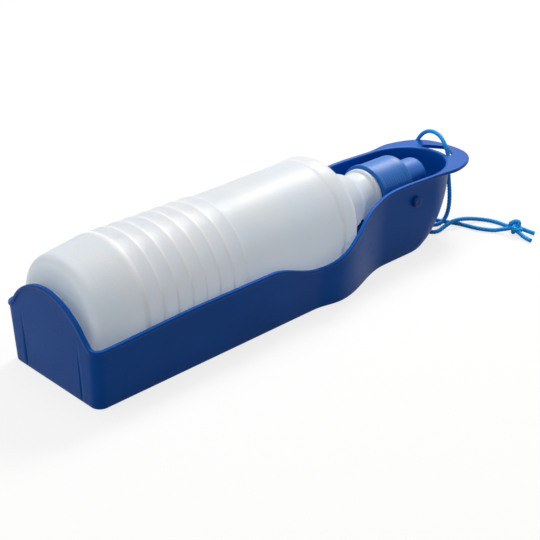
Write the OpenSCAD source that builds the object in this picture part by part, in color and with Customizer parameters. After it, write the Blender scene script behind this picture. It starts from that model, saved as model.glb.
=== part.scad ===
// Travel drinking bottle for a dog.
// A squeeze bottle hangs by its screw cap on two pivot pins in a trough. Stored, the
// bottle lies in the trough; swung over, the trough's scoop catches water from the nozzle.
// Frame: +X runs from the end wall to the drinking lip, +Y across, +Z up. The origin is
// the middle of the footprint, on the surface that the trough stands on.

/* [Bottle] */
// Outer radius of the ribbed belly
belly_r = 30.2; // [28:0.1:31]
// How much wider the shoulder is than the ridge lines, in radius
shoulder_swell = 0.8; // [0.4:0.1:1]
// Height of the step where the smooth band meets the shoulder, in radius
shoulder_step = 0.7; // [0.4:0.1:0.9]
// How far the smooth band is drawn in ahead of the last ridge line, in radius
band_drop = 1; // [0.4:0.1:1.2]
// Wall of the blown bottle
bottle_wall = 1.1; // [0.8:0.1:1.6]
// Radius of the dish in the flat foot that the bottle stands on
dish_r = 11; // [9:0.5:14]
// Depth of the dish
dish_depth = 2; // [1.6:0.1:3]
// Length from the foot to the first ridge
base_len = 26.1; // [24:0.1:28]
// How much narrower the belly is where the foot's round starts
base_taper = 2.8; // [1.5:0.1:3.5]
// Radius of the round between the foot and the cone
foot_round = 4.5; // [3:0.5:6]
// Number of ridge lines round the belly
ridge_count = 8; // [6:1:9]
// Distance between neighbouring ridge lines
ridge_pitch = 8.3; // [7.5:0.1:8.6]
// Depth of the shallow hollow between two ridge lines
hollow_depth = 0.3; // [0.2:0.05:0.4]
// Length of the smooth band from the last ridge to the shoulder line
band_len = 60.7; // [56:0.1:64]
// Length of the domed shoulder
dome_len = 24.4; // [23.2:0.1:27]
// Radius of the round where the shoulder turns down to its cone
dome_round = 6; // [5:1:8]
// Slope of the shoulder's cone, in degrees
dome_slope = 52; // [50:1:58]
// Outer radius at the crease where the shoulder meets the neck's flare
crease_r = 17.6; // [17:0.1:18]
// Length of the flare between the crease and the neck
flare_len = 12; // [11:0.5:13]
// How much the flare narrows towards the neck
flare_drop = 2.3; // [1.8:0.1:2.6]
// Length of the bare neck from the crease to the neck ring
neck_len = 25.6; // [24.5:0.1:27]
// Outer radius of the neck under the thread
neck_r = 11.9; // [11.6:0.1:12.1]
// Wall of the neck
neck_wall = 1.6; // [1.3:0.1:1.9]
// Radius of the ring below the cap
ring_r = 13.9; // [13.6:0.1:14.3]
// Thickness of the ring below the cap
ring_t = 2.2; // [1.6:0.1:2.6]
// Length of the threaded finish from the ring to the mouth
finish_len = 14.6; // [13.6:0.1:14.8]

/* [Thread] */
// Pitch of the cap thread
thread_pitch = 2.7; // [2.6:0.05:2.9]
// Height of a thread ridge
thread_height = 1.1; // [0.9:0.05:1.15]
// Width of a thread ridge at its root
thread_root = 1.3; // [1:0.05:1.4]
// Width of a thread ridge at its crest
thread_crest = 0.6; // [0.4:0.05:0.7]
// Turns of thread on the neck and in the cap
thread_turns = 1.5; // [1.25:0.25:1.75]
// Turns that the bottle makes as it is unscrewed in the trough
unscrew_turns = 1; // [0.8:0.05:1.05]

/* [Cap] */
// Gap between the bottle's ring and the cap
cap_gap = 0.9; // [0.6:0.1:1.2]
// Wall of the cap's skirt
cap_wall = 1.9; // [1.6:0.1:2.1]
// Length of the cap
cap_len = 24; // [23.5:0.1:25]
// Thickness of the flange at the cap's open end
flange_t = 1.8; // [1.4:0.1:2.4]
// How far the flange stands out from the skirt
flange_out = 0.5; // [0.3:0.1:0.8]
// Thickness of the web that closes the cap over the mouth
web_t = 2.2; // [1.8:0.1:2.6]
// Thickness of the seal on the mouth
seal_t = 1.4; // [1:0.1:1.6]
// Thickness of the ring that keeps the nozzle in the cap
keeper_t = 1.6; // [1.4:0.1:2]
// Distance from the cap's open end to the pivot axis
pivot_in_cap = 13.1; // [12.5:0.1:13.8]

/* [Nozzle] */
// Outer radius of the nozzle
nozzle_r = 9.5; // [9:0.1:9.6]
// How far the nozzle stands out of the cap
nozzle_out = 19.1; // [17:0.1:19.2]
// Radius of the nozzle's rounded front edge
nozzle_round = 3; // [2.6:0.1:3.4]
// Thickness of the nozzle's front wall
nozzle_front = 4; // [3.4:0.1:4.4]
// Radius of the spigot that the nozzle turns on
spigot_r = 5; // [4.8:0.1:5.2]
// Radius of the water channel in the spigot
channel_r = 2.4; // [2:0.1:2.6]
// Radius of the side ports and of the outlet
port_r = 1.5; // [1.2:0.1:1.8]
// Thickness of the sealing ring on the spigot
o_ring_t = 1.2; // [1:0.1:1.3]

/* [Pivot] */
// Radius of a pivot pin
pin_r = 3; // [2.8:0.1:3.2]
// How far a pin stands out of the trough wall
pin_out = 2; // [1.6:0.1:3]
// How far the pins sit ahead of the place that the bottle's lengths are counted from
pin_ahead = 2.4; // [1.8:0.1:2.8]
// How far the pins sit below the bottle's axis
pin_drop = 1.6; // [1:0.1:1.8]
// How deep a pin is pressed into its boss
pin_grip = 4.5; // [4:0.1:5]
// Wall of a boss round its pin
boss_wall = 1.6; // [1.4:0.1:2]
// Gap between a boss and the trough wall
boss_gap = 0.4; // [0.3:0.1:0.6]

/* [Trough] */
// Wall of the trough
wall = 1.7; // [1.5:0.1:1.9]
// Thickness of the trough's floor
floor_t = 1.1; // [1:0.1:1.4]
// Gap between the bottle and the trough where the bottle lies
seat_gap = 0.4; // [0.4:0.1:0.6]
// Gap between the belly and the side walls at the rim
side_gap = 1.35; // [1.1:0.05:1.6]
// Lean of the side walls, outward for each millimetre of height
draft = 0.046; // [0.04:0.002:0.05]
// Lean of the scoop's walls
scoop_draft = 0.016; // [0.01:0.002:0.03]
// Lean of the end wall
end_draft = 0.03; // [0.02:0.002:0.04]
// Gap between the unscrewed bottle and the end wall
end_gap = 0.3; // [0.3:0.1:1]
// Height of the side walls beside the belly
side_h = 31.5; // [30.5:0.1:32.5]
// Height of the rim at the corners of the end wall
corner_h = 29.7; // [28:0.1:31]
// Height of the low place in the rim beside the shoulder
dip_h = 22.8; // [21:0.1:25]
// Height of the drinking lip
lip_h = 41.5; // [40:0.1:43]
// Extra height of the rim beside the cap
crest_h = 0.8; // [0.4:0.1:1.2]
// Rise of the arch on the end wall above the corners
arch_rise = 18.5; // [15:0.1:19.5]
// Half width of the arch on the end wall
arch_half = 27; // [24:0.1:27.5]
// How softly the arch runs out into the rim at the corners
arch_soft = 6; // [2:0.5:8]
// Radius of the upright corners of the end wall
corner_r = 5; // [4:0.1:6.5]
// Radius of the edge between the walls and the floor
edge_r = 1; // [0.8:0.1:1.6]
// How much the body swells beside the shoulder
swell = 2.6; // [1.6:0.1:3]
// Half width of the scoop at the floor
scoop_half = 22.9; // [22.7:0.1:23.8]
// Length of the scoop ahead of the pivot, at the rim
scoop_reach = 47.1; // [45:0.1:49]
// Length of the scoop's flat floor ahead of the pivot
floor_reach = 21.4; // [19:0.1:24]
// How far the lip stands out ahead of the scoop
lip_out = 13.7; // [12:0.1:15]
// How far the lip stands out beside the scoop
lip_side = 2.8; // [2:0.1:3]
// How far the rim's bead stands out from the wall
bead_out = 0.6; // [0.4:0.1:1]
// Height of the rim's bead
bead_h = 1.7; // [1.4:0.1:2.2]
// Thickness of the lip
lip_t = 2.3; // [2:0.1:2.6]
// Distance of each groove in the end wall from the middle line
groove_y = 20.4; // [17:0.1:22]
// Depth of a groove at the foot of the wall, where it is deepest
groove_depth = 0.8; // [0.4:0.1:0.9]
// Half width of a groove
groove_half = 0.8; // [0.5:0.1:1.2]

/* [Lanyard slot] */
// Radius of the slot's round ends
slot_end_r = 3; // [2.6:0.1:3.2]
// Radius of the slot's bulge towards the tip of the lip
slot_bulge_r = 4; // [3.5:0.1:4.4]
// Distance of each round end from the middle line
slot_half = 7.4; // [6.5:0.1:8]
// Land left between the scoop's wall and the slot
slot_land = 0.7; // [0.5:0.1:1]

/* [Lanyard] */
// Thickness of the cord
cord_d = 2.4; // [2:0.1:2.4]
// Radius of the knot that ties the loop
knot_r = 3.9; // [3.6:0.1:4.1]

/* [Hidden] */
// Facets of round surfaces; the exact solids don't depend on them
round_fn = 72;
// Running clearance of a shaft in its bore, in radius
run_gap = 0.07;
// Clearance between a thread's crest and the wall it faces
thread_gap = 0.22;
// Air left between faces of parts that move on each other
face_gap = 0.05;

// Heights and radii that follow from the sizes above
shoulder_r = belly_r + shoulder_swell;
axis_z = floor_t + seat_gap + shoulder_r;
body_half = belly_r + side_gap + wall - draft * side_h;

// Places along the bottle's axis, measured from the pivot axis, ahead is positive
cap_back = -pivot_in_cap;
cap_front = cap_back + cap_len;
ring_front = cap_back - cap_gap;
ring_back = ring_front - ring_t;
mouth_x = ring_front + finish_len;
seal_front = mouth_x + seal_t + 2 * face_gap;
web_front = seal_front + web_t;
crease_x = ring_back - neck_len;
shoulder_x = crease_x - dome_len;
last_ridge_x = shoulder_x - band_len;
first_ridge_x = last_ridge_x - (ridge_count - 1) * ridge_pitch;
foot_x = first_ridge_x - base_len;
unscrew_travel = unscrew_turns * thread_pitch;
end_in_x = foot_x - unscrew_travel - end_gap;
nozzle_tip = cap_front + nozzle_out;

// Radii inside the cap
thread_r = neck_r + thread_height;
cap_bore_r = thread_r + thread_gap;
skirt_r = cap_bore_r + cap_wall;
flange_r = skirt_r + flange_out;

// Places of the trough, from the pivot axis
end_x = end_in_x - wall;
lip_x = scoop_reach + lip_out;
arch_top = corner_h + arch_rise;
bead_drop = 0.4;
trough_back = end_x - end_draft * (arch_top - bead_drop) - bead_out;
pivot_x = -(trough_back + lip_x) / 2;

// ---------------------------------------------------------------- helpers

// A smooth step from 0 at a to 1 at b
function step(a, b, x) = let (u = min(1, max(0, (x - a) / (b - a)))) u * u * (3 - 2 * u);
function blend(a, b, k) = a + (b - a) * k;

// Turns a profile of [radius, place along the axis] about the bottle's axis
module lathe(profile) {
  translate([0, 0, axis_z]) rotate([0, 90, 0]) rotate_extrude($fn = round_fn) polygon(profile);
}

// A cylinder on the bottle's axis from one place to another
module along(from, to, r) {
  translate([from, 0, axis_z]) rotate([0, 90, 0]) cylinder(h = to - from, r = r, $fn = round_fn);
}

// A cylinder on the pivot axis from one place to another
module across(from, to, r) {
  translate([pin_ahead, from, axis_z - pin_drop]) rotate([-90, 0, 0])
    cylinder(h = to - from, r = r, $fn = round_fn);
}

// Moves a part from the pivot axis to its place in the frame
module placed() {
  translate([pivot_x, 0, 0]) children();
}

// One thread ridge: a flat-topped ridge that winds about the bottle's axis
module thread(from, root_r, crest_r) {
  steps_a_turn = 24;
  steps = round(thread_turns * steps_a_turn);
  ring = [[root_r, -thread_root / 2], [crest_r, -thread_crest / 2],
          [crest_r, thread_crest / 2], [root_r, thread_root / 2]];
  points = [for (i = [0:steps]) for (p = ring)
    let (a = 360 * i / steps_a_turn, x = from + thread_pitch * i / steps_a_turn + p[1])
    [x, p[0] * cos(a), p[0] * sin(a)]];
  out = crest_r > root_r;
  sides = [for (i = [0:steps - 1]) for (j = [0:3])
    let (a = 4 * i + j, b = 4 * i + (j + 1) % 4)
    each out ? [[a, b, b + 4], [a, b + 4, a + 4]] : [[b, a, b + 4], [b + 4, a, a + 4]]];
  last = 4 * steps;
  ends = out ? [[3, 2, 1, 0], [last, last + 1, last + 2, last + 3]]
             : [[0, 1, 2, 3], [last + 3, last + 2, last + 1, last]];
  translate([0, 0, axis_z]) polyhedron(points, concat(sides, ends));
}

// ---------------------------------------------------------------- trough

// Half width of the trough at the floor
function half_w(x) =
  body_half + swell * step(shoulder_x - 16.5, shoulder_x, x)
  - (body_half + swell - scoop_half) * step(shoulder_x, shoulder_x + 46.5, x);

// Lean of the side wall, which steepens where the body narrows to the scoop
function lean(x) = blend(draft, scoop_draft, step(shoulder_x, shoulder_x + 46.5, x));

// Height of the rim beside the bottle
function side_rim(x) =
  blend(corner_h, side_h, step(end_x, end_x + 60, x))
  - (side_h - dip_h) * step(shoulder_x - 47.8, shoulder_x - 13.8, x)
  + (lip_h - dip_h - 1.9) * step(shoulder_x - 13.4, shoulder_x + 31.7, x)
  + (crest_h + 1.9) * step(shoulder_x + 32.2, shoulder_x + 54.2, x);

// Height of the arch above the corners, a straight slope below its last 1.5 mm
function arch(y) =
  let (last = arch_half - 1.5, u = min(abs(y), last), h = arch_rise * pow(cos(90 * u / arch_half), 0.6))
  h - 0.6 * h / 1.5 * (abs(y) - u);

// Height of the rim on the end wall and round its corners, into which the arch runs out softly
function end_rim(y) =
  let (h = arch(y), soft = max(0, arch_soft - abs(h))) corner_h + max(0, h) + soft * soft / (4 * arch_soft);

// Place of a corner station along the rim, measured from the middle of the end wall
function around(st) =
  st[0] == 1 ? body_half - corner_r + draft * corner_h + corner_r * st[1] * PI / 180 : st[1];

// How far the scoop has opened from its floor to its rim, at a height
function opening(z) =
  let (full = 31, u = min(1, max(0, (full - z) / full))) pow(1 - pow(u, 1.72), 0.5);

// Place of the scoop's plan ellipse at a height: where it starts and how long it is
function nose_start(z) = blend(-0.6, 17.4, opening(z));
function nose_len(z) = blend(floor_reach + 0.6, scoop_reach - 17.4, opening(z));

// The two grooves on the outside of the end wall, deepest just above its foot
function groove(y, z) = abs(abs(y) - groove_y) < 0.1 && z > edge_r + 0.1
  ? groove_depth * max(0, 1 - z / corner_h) : 0;

// A station is [region, value]: 0 end wall, 1 upright corner, 2 side, 3 scoop front.
// The point of a station at height z, moved outward by off. The inner skin sits a floor
// higher, so that the curved scoop keeps its thickness.
function point(st, z, off, inner) =
  let (d = off - (inner ? wall : 0), flat = body_half - corner_r + draft * z,
       back = end_x - end_draft * z, r = corner_r + d, zn = inner ? z - floor_t : z)
  st[0] == 0 ? [back - d + (inner ? 0 : groove(st[1], z)), st[1], z] :
  st[0] == 1 ? [back + corner_r - r * cos(st[1]), flat + r * sin(st[1]), z] :
  st[0] == 2 ? [st[1], half_w(st[1]) + lean(st[1]) * z + d, z] :
  [nose_start(zn) + (nose_len(zn) + d) * sin(st[1]),
   (scoop_half + scoop_draft * z + d) * cos(st[1]), z];

function rim_z(st) =
  st[0] < 2 ? end_rim(around(st)) :
  st[0] == 2 ? side_rim(st[1]) : lip_h;

// A point of the rim: k runs from 0 at the wall to 1 at the outer edge of bead or lip
function rim_point(st, k, z) =
  let (a = point(st, z, 0, false), b = point(st, z, bead_out, false),
       s = sin(st[1]), power = 2.8, w = scoop_half + scoop_draft * lip_h + lip_side,
       lip = [17.4 + (lip_x - 17.4) * s, w * pow(max(0, 1 - pow(s, power)), 1 / power), z])
  st[0] == 3 ? blend(a, blend(b, lip, step(0, 25, st[1])), k) : blend(a, b, k);

// How far the top of the lip lies below the rim's bead
function shelf(st) = st[0] == 3 ? 0.3 * step(10, 40, st[1]) : 0;

// How steep the end wall's arch is
function arch_slope(y) = end_rim(abs(y)) - end_rim(abs(y) + 1);

// Height of the rim's bead, which grows into the thickness of the lip. It is taller where
// the arch is steep, so that the bead looks equally thick all along it.
function edge_h(st) =
  st[0] == 3 ? blend(bead_h, lip_t, step(0, 40, st[1])) :
  st[0] < 2 ? bead_h * min(2.5, sqrt(1 + pow(arch_slope(around(st)), 2))) : bead_h;

// One station's section: up the outside, over the rim, down the inside
function section(st) =
  let (h = rim_z(st), under = h - edge_h(st), s = shelf(st),
       low = floor_t + edge_r, high = h - 0.5)
  concat(
    [point(st, 0, -edge_r, false), point(st, 0.3 * edge_r, -0.3 * edge_r, false)],
    [for (f = [0, 0.1, 0.25, 0.45, 0.7]) point(st, blend(edge_r, under, f), 0, false)],
    [rim_point(st, 0, under), rim_point(st, 0.96, under + 0.1), rim_point(st, 1, under + 0.5),
     rim_point(st, 1, h - s - 0.4), rim_point(st, 0.93, h - s - 0.1), rim_point(st, 0.8, h - s),
     rim_point(st, 0.2, h - s), point(st, h, -0.1, false), point(st, h, 0.35, true)],
    [for (f = [1, 0.7, 0.45, 0.25, 0.1, 0]) point(st, blend(low, high, f), 0, true)],
    [point(st, floor_t + 0.3 * edge_r, -0.3 * edge_r, true), point(st, floor_t, -edge_r, true)]);

half_stations = concat(
  [for (f = [0, 0.3, 0.55, 0.8]) [0, f * groove_y]],
  [for (k = [-1:1]) [0, groove_y + k * groove_half]], 
  [[0, body_half - corner_r - 2], [0, body_half - corner_r - 0.3]],
  [for (a = [0:22.5:90]) [1, a]],
  [for (x = [end_x + 12, end_x + 24, end_x + 36, end_x + 48, end_x + 62]) [2, x]],
  [[2, (end_x + shoulder_x) / 2 + 10]],
  [for (i = [0:22]) [2, shoulder_x - 49.4 + 4.4 * i]],
  [for (x = [-10, -5]) [2, x]],
  [for (a = [0:10:80]) [3, a]], [[3, 86], [3, 90]]);
half_count = len(half_stations);
all_stations = concat(
  [for (i = [0:half_count - 1]) [half_stations[i], 1]],
  [for (i = [half_count - 2:-1:1]) [half_stations[i], -1]]);

module trough_shell() {
  sections = [for (st = all_stations) [for (p = section(st[0])) [p[0], st[1] * p[1], p[2]]]];
  count = len(sections);
  rows = len(sections[0]);
  points = [for (s = sections) each s];
  skin = [for (i = [0:count - 1]) for (j = [0:rows - 2])
    let (a = i * rows + j, b = ((i + 1) % count) * rows + j)
    each [[a, b, b + 1], [a, b + 1, a + 1]]];
  // The two flats are fans about a point beside the shoulder, which sees the whole outline
  middle = count * rows;
  under = [for (i = [0:count - 1]) [middle, ((i + 1) % count) * rows, i * rows]];
  inside = [for (i = [0:count - 1])
    [middle + 1, i * rows + rows - 1, ((i + 1) % count) * rows + rows - 1]];
  polyhedron(concat(points, [[shoulder_x, 0, 0], [shoulder_x, 0, floor_t]]),
             concat(skin, under, inside));
}

module lanyard_slot() {
  turn_x = scoop_reach - 20.7;
  land_r = 20.7 + slot_land;
  end_c = turn_x + 22.7;
  translate([0, 0, lip_h - bead_h - 3]) linear_extrude(bead_h + 6) difference() {
    hull() {
      for (s = [-1, 1]) translate([end_c, s * slot_half]) circle(slot_end_r, $fn = 32);
      translate([end_c + slot_bulge_r, 0]) circle(slot_bulge_r, $fn = 32);
    }
    translate([turn_x, 0]) circle(land_r, $fn = 96);
  }
}

module trough() {
  color("#1746b8") placed() difference() {
    trough_shell();
    across(-body_half * 2, body_half * 2, pin_r + run_gap);
    lanyard_slot();
  }
}

// ---------------------------------------------------------------- bottle

// The shallow hollows between the ridge lines, as [radius, place]
hollows = [for (i = [0:ridge_count - 2]) for (f = [0, 0.18, 0.5, 0.82])
  [belly_r - hollow_depth * sin(180 * f), first_ridge_x + (i + f) * ridge_pitch]];
// The domed shoulder: a step up, then a round that turns down to a cone, which ends at the crease
cone_drop = shoulder_r - crease_r - dome_round * (1 - cos(dome_slope));
round_end_x = crease_x - cone_drop / tan(dome_slope);
round_start_x = round_end_x - dome_round * sin(dome_slope);
dome = concat([[shoulder_r - shoulder_step, shoulder_x + 3.2], [shoulder_r, shoulder_x + 6]],
  [for (i = [0:7]) let (a = dome_slope * i / 7)
    [shoulder_r - dome_round * (1 - cos(a)), round_start_x + dome_round * sin(a)]],
  [[crease_r, crease_x]]);
// The foot's round
cone_r = belly_r - base_taper;
round_x = foot_x + foot_round;
foot_arc = [for (a = [0:15:90])
  [cone_r - foot_round * (1 - sin(a)), round_x - foot_round * cos(a)]];

module bottle() {
  t = bottle_wall;
  flare_x = crease_x + flare_len;
  rest = neck_len - flare_len;
  outer = concat(
    [[dish_r - 2, foot_x + dish_depth], [dish_r, foot_x]], foot_arc, hollows,
    [[belly_r, last_ridge_x], [belly_r - band_drop, last_ridge_x + 1.5]], dome,
    [[crease_r - flare_drop, flare_x], [neck_r + 1.4, flare_x + 0.22 * rest],
     [neck_r + 0.5, flare_x + 0.54 * rest], [neck_r + 0.7, ring_back],
     [ring_r, ring_back + 0.4], [ring_r, ring_front - 0.4], [ring_r - 0.4, ring_front],
     [neck_r, ring_front], [neck_r, mouth_x], [neck_r - neck_wall, mouth_x],
     [neck_r - neck_wall, flare_x + 0.4 * rest], [crease_r - flare_drop - t - 0.1, flare_x]]);
  inner = concat(
    [for (i = [len(dome) - 1:-1:0]) let (a = max(0, min(dome_slope, dome_slope * (i - 2) / 7)))
      [dome[i][0] - t * cos(a), dome[i][1] - t * sin(a)]],
    [[belly_r - band_drop - t, last_ridge_x + 1.5], [belly_r - band_drop - t, last_ridge_x],
     [belly_r - hollow_depth - t, last_ridge_x - ridge_pitch], [belly_r - hollow_depth - t, first_ridge_x]],
    [for (i = [len(foot_arc) - 1:-1:0]) let (a = 15 * i)
      [foot_arc[i][0] - t * sin(a), foot_arc[i][1] + t * cos(a)]],
    [[dish_r, foot_x + t], [dish_r - 2, foot_x + dish_depth + t], [0, foot_x + dish_depth + t],
     [0, foot_x + dish_depth]]);
  color("#dfe6ea") placed() {
    lathe(concat(outer, inner));
    thread(ring_front + 2.2, neck_r - 0.3, thread_r);
  }
}

// ---------------------------------------------------------------- cap

spigot_end = nozzle_tip - nozzle_front - 0.6;
keeper_back = cap_front - keeper_t;
boss_end = scoop_half + scoop_draft * axis_z - wall - boss_gap;
o_ring_x = keeper_back + 2.6;
port_x = spigot_end - 5.5;

module screw_cap() {
  color("#0f4fc4") placed() difference() {
    union() {
      along(cap_back, cap_front, skirt_r);
      along(cap_back, cap_back + flange_t, flange_r);
      across(-boss_end, boss_end, pin_r + boss_wall);
      along(web_front, spigot_end, spigot_r);
    }
    difference() {
      along(cap_back - 1, seal_front, cap_bore_r);
      thread(ring_front + 2.2 + thread_pitch / 2, cap_bore_r + 0.3, cap_bore_r - thread_height);
    }
    difference() {
      along(web_front, keeper_back, cap_bore_r);
      along(web_front - 1, spigot_end, spigot_r);
    }
    difference() {
      along(keeper_back - 1, cap_front + 1, nozzle_r + run_gap);
      along(keeper_back - 2, spigot_end, spigot_r);
    }
    along(seal_front - 1, spigot_end - 1.5, channel_r);
    translate([port_x, 0, axis_z]) rotate([90, 0, 0])
      cylinder(h = 4 * spigot_r, r = port_r, center = true, $fn = round_fn);
    difference() {
      along(o_ring_x - o_ring_t / 2 - 0.1, o_ring_x + o_ring_t / 2 + 0.1, spigot_r + 1);
      along(o_ring_x - o_ring_t, o_ring_x + o_ring_t, spigot_r - o_ring_t + run_gap);
    }
    for (s = [-1, 1]) across(s > 0 ? boss_end - pin_grip : -boss_end - 1,
                             s > 0 ? boss_end + 1 : pin_grip - boss_end, pin_r);
  }
}

module neck_seal() {
  color("#e8e8e4") placed() difference() {
    along(mouth_x + face_gap, mouth_x + face_gap + seal_t, neck_r - 0.1);
    along(mouth_x, seal_front + 1, neck_r - neck_wall - 1.4);
  }
}

// A pivot pin: side is -1 for the near one and 1 for the far one
module pivot_pin(side) {
  tip = scoop_half + scoop_draft * axis_z + pin_out;
  edge = 0.4;
  from = boss_end - pin_grip;
  color("#143a9a") placed() translate([pin_ahead, 0, axis_z - pin_drop]) rotate([-90 * side, 0, 0])
    rotate_extrude($fn = round_fn)
      polygon([[0, from], [pin_r, from], [pin_r, tip - edge], [pin_r - edge, tip], [0, tip]]);
}

module pivot_pin_near() { pivot_pin(-1); }
module pivot_pin_far() { pivot_pin(1); }

// ---------------------------------------------------------------- nozzle

module twist_nozzle() {
  rear = web_front + 1;
  flange_in = cap_bore_r - 1;
  front_arc = [for (a = [0:15:90])
    [nozzle_r - nozzle_round * (1 - cos(a)), nozzle_tip - nozzle_round * (1 - sin(a))]];
  bore = spigot_r + run_gap;
  color("#0d47b4") placed() difference() {
    lathe(concat(
      [[bore, rear], [flange_in, rear], [flange_in, keeper_back - 0.2], [nozzle_r, keeper_back - 0.2]],
      front_arc, [[0, nozzle_tip], [0, nozzle_tip - nozzle_front], [bore, nozzle_tip - nozzle_front]]));
    along(nozzle_tip - nozzle_front - 1, nozzle_tip + 1, port_r);
    for (s = [-1, 1])
      translate([port_x - port_r, -port_r, axis_z + (s > 0 ? spigot_r - 1 : -spigot_r - 1.6)])
      cube([nozzle_tip - nozzle_front - port_x + port_r, 2 * port_r, 2.6]);
  }
}

module nozzle_o_ring() {
  major = spigot_r + 0.03 - o_ring_t / 2;
  color("#202226") placed() translate([o_ring_x, 0, axis_z]) rotate([0, 90, 0])
    rotate_extrude($fn = round_fn) translate([major, 0]) circle(d = o_ring_t, $fn = 32);
}

// ---------------------------------------------------------------- lanyard

// The lanyard is one cord, whose two halves meet in the slot. The front half goes down
// before the scoop, turns round under it and lies on the ground as far as the knot.
front_route = [
  [127, -8, 41.4], [126.6, -9.2, 37], [126, -10.2, 31], [126.4, -10.9, 25], [127, -11.4, 19],
  [127, -11.8, 13.4], [126.4, -11.9, 8.6], [125, -11.8, 4.9], [122.6, -11.5, 2.5],
  [119.4, -10.9, 1.4], [116, -8.8, 1.2], [112.3, -6.9, 1.2], [108.9, -8.3, 1.2],
  [107.5, -11.7, 1.2], [108.9, -15.1, 1.2], [112.3, -16.5, 1.2], [116.9, -16, 1.4],
  [121, -16.3, 2.6], [125.1, -17.4, 3.8], [129.8, -18.4, 3.7], [135.1, -19.2, 2.7],
  [139.6, -20.8, 1.8], [143.2, -23.8, 1.3], [145.6, -28.2, 1.2], [146.6, -33.4, 1.2],
  [146.2, -38.8, 1.5], [145.2, -43.4, 2.9], [144.9, -47.6, 3.8], [147.1, -51.4, 2.4],
  [149.3, -55.9, 1.3]
];
// The back half goes up, over the lip and down behind it, and then to the knot too
back_route = [
  [127, -8, 41.4], [126.4, -6.8, 45], [126.8, -4.4, 47.8], [127.8, -1.2, 49.6], [128.8, 2.8, 50.4],
  [129.8, 7, 50], [131, 11, 48.4], [132.6, 15, 45.6], [134.2, 18.6, 41.8], [135.2, 21.4, 37],
  [135.4, 23.4, 31], [134.8, 24.4, 24.6], [133.4, 24.8, 18], [131, 24.4, 11.8], [127.8, 22.8, 6.6],
  [124.4, 19.6, 3], [122, 15, 1.4], [121, 9.6, 1.2], [121, 4, 1.2], [121.8, -1.2, 1.2],
  [123.2, -5.8, 1.2], [125, -10.2, 1.2], [127, -14.2, 1.2], [128.8, -18.4, 1.2], [130, -23, 1.2],
  [131.2, -28, 1.2], [133.4, -33, 1.2], [136.4, -37.6, 1.3], [139.4, -41.8, 2.4], [141.2, -46.2, 3.8],
  [141.1, -50.6, 2.8], [140.6, -55, 1.5], [140, -59.6, 1.2]
];
knot_at = [142.9, -47.3, 3.9];

// A round tube of eight sides along a route
module tube(route, d) {
  sides = 8;
  count = len(route);
  dirs = [for (i = [0:count - 1])
    let (v = route[min(i + 1, count - 1)] - route[max(i - 1, 0)]) v / norm(v)];
  function frame(i, last) =
    let (flat = last - dirs[i] * (last * dirs[i])) flat / norm(flat);
  function frames(i, last) = i == count ? [] :
    let (u = frame(i, last)) concat([u], frames(i + 1, u));
  ups = frames(0, [0, 0.2, 1]);
  points = [for (i = [0:count - 1]) for (k = [0:sides - 1])
    let (a = 360 * k / sides, side = cross(dirs[i], ups[i]))
    route[i] + d / 2 * (cos(a) * ups[i] + sin(a) * side)];
  skin = [for (i = [0:count - 2]) for (k = [0:sides - 1])
    let (a = i * sides + k, b = i * sides + (k + 1) % sides)
    each [[a, b, b + sides], [a, b + sides, a + sides]]];
  first = [for (k = [sides - 1:-1:0]) k];
  last = [for (k = [0:sides - 1]) (count - 1) * sides + k];
  polyhedron(points, concat(skin, [first, last]));
}

module lanyard_front() {
  color("#2a9df4") tube(front_route, cord_d);
}

module lanyard_back() {
  color("#2a9df4") tube(back_route, cord_d);
}

module lanyard_knot() {
  color("#2a8fe0") translate(knot_at) sphere(r = knot_r, $fn = 24);
}

// ---------------------------------------------------------------- nodes

trough();
bottle();
screw_cap();
neck_seal();
pivot_pin_near();
pivot_pin_far();
twist_nozzle();
nozzle_o_ring();
lanyard_front();
lanyard_back();
lanyard_knot();
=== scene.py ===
# %% [markdown]
# # A dog's travel water bottle
#
# The object is a long blue trough. A milky squeeze bottle lies in it, and its cap is hung on
# two pins, so that the bottle swings out and water runs into the scoop at the front. The exact
# solids are already made, and they arrive here as a fixed frame. In this lesson each visible
# piece gets a finer surface and a material, and then a studio is put round it. All lengths in
# the lists are millimetres, because that is how the parts are drawn, and one helper turns them
# into Blender's metres.

# %% Load the fixed frame
import math

import bmesh
import bpy
import numpy as np
from mathutils import Matrix, Vector


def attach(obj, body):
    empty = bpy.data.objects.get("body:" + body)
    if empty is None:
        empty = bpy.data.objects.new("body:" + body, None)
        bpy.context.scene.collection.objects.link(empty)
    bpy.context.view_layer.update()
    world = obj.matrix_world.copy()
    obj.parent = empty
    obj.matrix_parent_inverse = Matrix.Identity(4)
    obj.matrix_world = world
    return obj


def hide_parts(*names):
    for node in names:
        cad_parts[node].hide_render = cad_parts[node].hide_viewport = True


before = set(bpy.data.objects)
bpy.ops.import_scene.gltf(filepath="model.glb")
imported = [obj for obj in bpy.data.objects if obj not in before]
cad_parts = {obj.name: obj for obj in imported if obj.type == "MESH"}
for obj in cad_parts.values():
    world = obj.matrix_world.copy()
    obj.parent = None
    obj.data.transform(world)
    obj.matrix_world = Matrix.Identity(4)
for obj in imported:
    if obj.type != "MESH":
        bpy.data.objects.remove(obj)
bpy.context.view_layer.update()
MM = 0.001

# %% [markdown]
# ## The camera
#
# The view is three-quarters from above. The camera could be aimed with a Track To constraint,
# but a matrix says the roll as well, and nothing is left to solve later. Its columns are the
# camera's right, up and back directions.

# %% Place the camera
EYE = Vector((-0.388317, -0.385627, 0.283697))
AIM = Vector((-0.023382, -0.019244, 0.02425))
ROLL = math.radians(0.787)


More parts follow.
